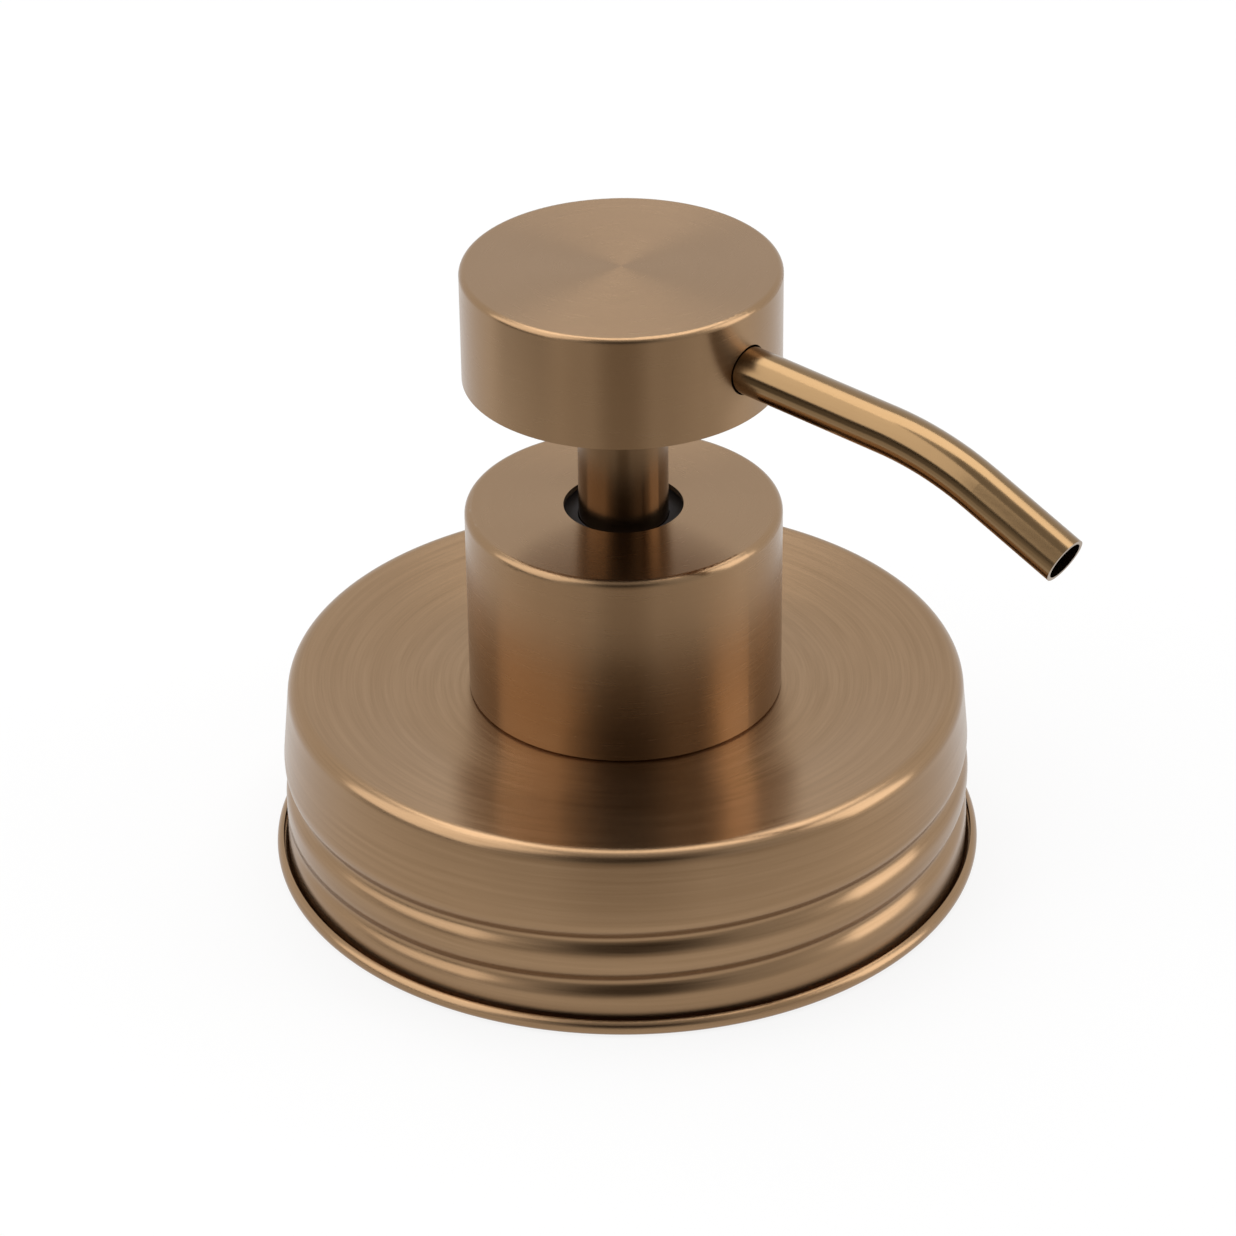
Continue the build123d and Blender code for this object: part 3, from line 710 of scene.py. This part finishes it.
class SOAPPUMP_OT_lid(bpy.types.Operator):
    """Make the pressed lid with its rolled thread and curled rim"""

    bl_idname = "soap_pump.lid"
    bl_label = "Lid"

    def execute(self, context):
        size = settings("lid")
        panel = size.height - size.dish_depth
        bead = (size.rim_radius - size.wall_radius + size.sheet) / 2
        centre = Vector((size.rim_radius - bead, bead - size.bead_flat))
        corners = [
            (size.hole_radius, panel),
            (size.panel_radius, panel),
            (size.top_radius, size.height),
            (size.wall_radius, size.wall_break),
            (size.wall_radius, centre.y),
        ]
        line = rounded_line(corners, (DISH_ROUNDING, EDGE_ROUNDING, WALL_ROUNDING), CORNER_STEPS)
        line = divided(line, THREAD_STEP, THREAD_ZONE)
        for i in range(1, BEAD_STEPS + 1):
            angle = math.pi + size.bead_turn * i / BEAD_STEPS
            line.append(centre + Vector((math.cos(angle), math.sin(angle))) * (bead - size.sheet))
        section = [Vector((p.x, max(p.y, 0.0))) for p in sheet_section(line, size.sheet)]
        piece = new_piece("rolled_lid", turned_mesh("rolled_lid", section, LID_SEGMENTS))
        run_tree(piece, rolled_thread_tree(lid_bronze()), {
            "Pitch": size.thread_pitch,
            "Start Height": size.thread_start,
            "Start Angle": size.thread_angle,
            "Turns": size.thread_turns,
            "Depth": size.thread_depth,
            "Width": size.thread_width,
            "Fade": size.thread_fade,
            "Floor": centre.y + bead,
        })
        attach(piece, "lid")
        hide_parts("lid_shell")
        return {"FINISHED"}


class SOAPPUMP_OT_metalwork(bpy.types.Operator):
    """Finish the brushed collar, stem and head"""

    bl_idname = "soap_pump.metalwork"
    bl_label = "Collar, Stem and Head"

    def execute(self, context):
        for name in ("collar_shell", "head_shell", "head_base"):
            dress(name, sheet_bronze())
        # The stem's darker bronze is painted shade for the shade under the head.
        dress("stem_sleeve", stem_painted_shade_bronze())
        return {"FINISHED"}


class SOAPPUMP_OT_nozzle(bpy.types.Operator):
    """Finish the bent nozzle"""

    bl_idname = "soap_pump.nozzle"
    bl_label = "Nozzle"

    def execute(self, context):
        dress("nozzle", material_once("drawn_bronze", drawn_bronze))
        return {"FINISHED"}


class SOAPPUMP_OT_plastics(bpy.types.Operator):
    """Finish the moulded pieces"""

    bl_idname = "soap_pump.plastics"
    bl_label = "Moulded Pieces"

    def execute(self, context):
        for name in ("neck", "collar_insert", "chaplet", "head_core"):
            dress(name, dark_plastic())
        for name in ("cylinder", "ball_cage", "piston", "piston_stem"):
            dress(name, pale_plastic())
        return {"FINISHED"}


class SOAPPUMP_OT_gaskets(bpy.types.Operator):
    """Finish the gaskets and the nozzle seal"""

    bl_idname = "soap_pump.gaskets"
    bl_label = "Gaskets"

    def execute(self, context):
        for name in ("jar_gasket", "neck_gasket", "housing_gasket", "nozzle_seal"):
            dress(name, gasket_rubber())
        return {"FINISHED"}


class SOAPPUMP_OT_spring(bpy.types.Operator):
    """Wind the return spring and finish the valve balls"""

    bl_idname = "soap_pump.spring"
    bl_label = "Spring and Balls"

    def execute(self, context):
        size = settings("spring")
        low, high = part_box("return_spring")
        piece = new_piece("coil_spring", bpy.data.meshes.new("coil_spring"))
        run_tree(piece, coil_tree(spring_steel()), {
            "Turns": size.turns,
            "Radius": size.radius,
            "Wire": size.wire,
            "Height": high[2] - low[2] - 2 * size.wire,
            "Foot": low[2] + size.wire,
        })
        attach(piece, "pump")
        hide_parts("return_spring")
        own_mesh(piece)
        for name in ("inlet_ball", "outlet_ball"):
            dress(name, spring_steel())
        return {"FINISHED"}


class SOAPPUMP_OT_stage(bpy.types.Operator):
    """Set the floor, the lamps and the camera"""

    bl_idname = "soap_pump.stage"
    bl_label = "Studio"

    def execute(self, context):
        self.floor()
        self.world(context.scene)
        for name, placing in SOFTBOXES.items():
            self.lamp(name, *placing)
        self.camera(context.scene)
        context.scene.view_settings.view_transform = "Standard"
        return {"FINISHED"}

    def floor(self):
        """A wide pale floor that keeps a soft shadow."""
        build = bmesh.new()
        bmesh.ops.create_circle(build, cap_ends=True, segments=FLOOR_SEGMENTS, radius=FLOOR_RADIUS)
        mesh = bpy.data.meshes.new("pale_floor")
        build.to_mesh(mesh)
        build.free()
        floor = new_piece("pale_floor", mesh)
        material = bpy.data.materials.new("pale_floor")
        material.use_nodes = True
        tree = material.node_tree
        tree.nodes.clear()
        output = new_node(tree, "ShaderNodeOutputMaterial")
        matte = new_node(tree, "ShaderNodeBsdfDiffuse")
        matte.inputs[0].default_value = rgba(settings("studio").floor)
        glow = new_node(tree, "ShaderNodeEmission")
        where = new_node(tree, "ShaderNodeTexCoord").outputs["Object"]
        seen, unseen = self.rays(tree)
        tree.links.new(self.floor_look(tree, where, unseen), glow.inputs[0])
        blend = new_node(tree, "ShaderNodeMixShader")
        tree.links.new(math_node(tree, "MULTIPLY", seen, FLOOR_GLOW), blend.inputs[0])
        tree.links.new(matte.outputs[0], blend.inputs[1])
        tree.links.new(glow.outputs[0], blend.inputs[2])
        tree.links.new(blend.outputs[0], output.inputs[0])
        mesh.materials.append(material)

    def rays(self, tree):
        """Whether a ray is seen, by the camera or in the metal, and whether the camera doesn't see it."""
        path = new_node(tree, "ShaderNodeLightPath")
        by_camera = path.outputs["Is Camera Ray"]
        mirrored = math_node(
            tree, "MAXIMUM", path.outputs["Is Glossy Ray"], path.outputs["Is Transmission Ray"])
        return math_node(tree, "MAXIMUM", by_camera, mirrored), math_node(tree, "SUBTRACT", 1.0, by_camera)

    def facing(self, tree, direction, azimuth, rise):
        """How closely a direction points to a place, in degrees round from the camera and as a rise."""
        turn = settings("studio").camera_azimuth + math.radians(azimuth)
        dot = new_node(tree, "ShaderNodeVectorMath", operation="DOT_PRODUCT")
        tree.links.new(direction, dot.inputs[0])
        level = math.cos(rise)
        dot.inputs[1].default_value = (math.sin(turn) * level, -math.cos(turn) * level, math.sin(rise))
        return dot.outputs["Value"]

    def level_parts(self, tree, place, unseen):
        """The level part of a place, how far it lies to the camera's side, and its share of the dark left."""
        level = new_node(tree, "ShaderNodeVectorMath", operation="MULTIPLY")
        tree.links.new(place, level.inputs[0])
        level.inputs[1].default_value = (1.0, 1.0, 0.0)
        heading = new_node(tree, "ShaderNodeVectorMath", operation="NORMALIZE")
        tree.links.new(level.outputs[0], heading.inputs[0])
        front = self.facing(tree, heading.outputs[0], 0.0, 0.0)
        to_left = self.facing(tree, heading.outputs[0], LEFT_AZIMUTH, 0.0)
        left = math_node(tree, "MULTIPLY", map_range(tree, to_left, *LEFT_SPREAD, 0.0, 1.0), unseen)
        return level.outputs[0], front, left

    def floor_look(self, tree, place, unseen):
        """The floor's colour: white to the camera, darker in the metal on the camera's side and far left."""
        studio = settings("studio")
        level, front, left = self.level_parts(tree, place, unseen)
        wide = map_range(tree, front, *FRONT_SPREAD, 0.0, FLOOR_FRONT)
        spot = map_range(tree, front, *FLOOR_SPOT_SPREAD, 0.0, FLOOR_SPOT)
        share = math_node(tree, "MULTIPLY", math_node(tree, "ADD", wide, spot), unseen)
        away = new_node(tree, "ShaderNodeVectorMath", operation="LENGTH")
        tree.links.new(level, away.inputs[0])
        distance = away.outputs["Value"]
        edge = [studio.paper_radius * part for part in PAPER_EDGE]
        off_paper = map_range(tree, distance, *edge, PAPER, 1.0, smooth=True)
        share = math_node(tree, "MULTIPLY", share, off_paper)
        colour = mix_colour(tree, share, WHITE, rgba(studio.front_floor))
        far = map_range(tree, distance, *FAR_FLOOR_SPREAD, 0.0, FAR_FLOOR, smooth=True)
        return mix_colour(tree, math_node(tree, "MULTIPLY", far, left), colour, rgba(studio.far_floor))

    def room_look(self, tree, place, unseen):
        """The room's colour: white to the camera, darker in the metal on the camera's side and low left."""
        studio = settings("studio")
        front, left = self.level_parts(tree, place, unseen)[1:]
        straight = self.facing(tree, place, 0.0, studio.camera_elevation)
        wide = map_range(tree, front, *FRONT_SPREAD, 0.0, ROOM_FRONT)
        spot = map_range(tree, straight, *ROOM_SPOT_SPREAD, 0.0, ROOM_SPOT)
        share = math_node(tree, "MULTIPLY", math_node(tree, "ADD", wide, spot), unseen)
        part = new_node(tree, "ShaderNodeSeparateXYZ")
        tree.links.new(place, part.inputs[0])
        low = map_range(tree, part.outputs[2], *HORIZON_SPREAD, HORIZON, 0.0, smooth=True)
        share = math_node(tree, "MAXIMUM", share, math_node(tree, "MULTIPLY", low, left))
        return mix_colour(tree, share, WHITE, rgba(studio.front_room))

    def world(self, scene):
        """White where it is seen, and dim as a light."""
        world = bpy.data.worlds.new("white_studio")
        world.use_nodes = True
        tree = world.node_tree
        tree.nodes.clear()
        output = new_node(tree, "ShaderNodeOutputWorld")
        sky = new_node(tree, "ShaderNodeBackground")
        where = new_node(tree, "ShaderNodeTexCoord").outputs["Generated"]
        seen, unseen = self.rays(tree)
        tree.links.new(mix_colour(tree, seen, DIM_ROOM, self.room_look(tree, where, unseen)), sky.inputs[0])
        tree.links.new(sky.outputs[0], output.inputs[0])
        scene.world = world

    def lamp(self, name, azimuth, elevation, distance, width, height, power):
        """A soft rectangular lamp, placed round the lid in degrees from the camera."""
        data = bpy.data.lights.new(name, "AREA")
        data.shape = "RECTANGLE"
        data.size = width
        data.size_y = height
        data.energy = power
        lamp = bpy.data.objects.new(name, data)
        bpy.context.scene.collection.objects.link(lamp)
        turn = settings("studio").camera_azimuth + math.radians(azimuth)
        rise = math.radians(elevation)
        level = math.cos(rise)
        out = Vector((math.sin(turn) * level, -math.cos(turn) * level, math.sin(rise)))
        lamp.location = LAMP_AIM + out * distance
        lamp.rotation_euler = (-out).to_track_quat("-Z", "Y").to_euler()

    def camera(self, scene):
        """The photograph's viewpoint."""
        studio = settings("studio")
        turn = studio.camera_azimuth
        rise = studio.camera_elevation
        level = math.cos(rise)
        right = Vector((math.cos(turn), math.sin(turn), 0.0))
        forward = Vector((-math.sin(turn) * level, math.cos(turn) * level, -math.sin(rise)))
        up = right.cross(forward)
        place = Vector((0.0, 0.0, studio.look_height)) - forward * studio.camera_distance
        yaw = Quaternion(up, AIM_YAW)
        forward.rotate(yaw)
        right.rotate(yaw)
        pitch = Quaternion(right, AIM_PITCH)
        forward.rotate(pitch)
        up.rotate(pitch)
        roll = Quaternion(forward, studio.camera_roll)
        right.rotate(roll)
        up.rotate(roll)
        data = bpy.data.cameras.new("photo_camera")
        data.lens = studio.lens
        data.sensor_width = SENSOR_WIDTH
        data.clip_end = VIEW_DEPTH
        camera = bpy.data.objects.new("photo_camera", data)
        scene.collection.objects.link(camera)
        camera.location = place
        camera.rotation_euler = Matrix((right, up, -forward)).transposed().to_euler()
        scene.camera = camera


class SOAPPUMP_PT_panel(bpy.types.Panel):
    """Lists the steps that dress the soap pump"""

    bl_idname = "SOAPPUMP_PT_panel"
    bl_label = "Soap Pump"
    bl_space_type = "VIEW_3D"
    bl_region_type = "UI"
    bl_category = "Soap Pump"

    def draw(self, context):
        for step in STEPS:
            self.layout.operator(step.bl_idname)


STEPS = (
    SOAPPUMP_OT_lid,
    SOAPPUMP_OT_metalwork,
    SOAPPUMP_OT_nozzle,
    SOAPPUMP_OT_plastics,
    SOAPPUMP_OT_gaskets,
    SOAPPUMP_OT_spring,
    SOAPPUMP_OT_stage,
)

GROUPS = {
    "lid": SoapPumpLidSizes,
    "spring": SoapPumpSpringSizes,
    "finish": SoapPumpFinish,
    "studio": SoapPumpStudio,
}


def register():
    for group in GROUPS.values():
        bpy.utils.register_class(group)
    for step in STEPS + (SOAPPUMP_PT_panel,):
        bpy.utils.register_class(step)
    for name, group in GROUPS.items():
        setattr(bpy.types.Scene, "soap_pump_" + name, bpy.props.PointerProperty(type=group))


def unregister():
    for name in GROUPS:
        delattr(bpy.types.Scene, "soap_pump_" + name)
    for step in (SOAPPUMP_PT_panel,) + STEPS[::-1]:
        bpy.utils.unregister_class(step)
    for group in list(GROUPS.values())[::-1]:
        bpy.utils.unregister_class(group)


def main():
    """Registers the add-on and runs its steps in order."""
    register()
    for step in STEPS:
        family, action = step.bl_idname.split(".")
        getattr(getattr(bpy.ops, family), action)()


if __name__ == "__main__":
    main()
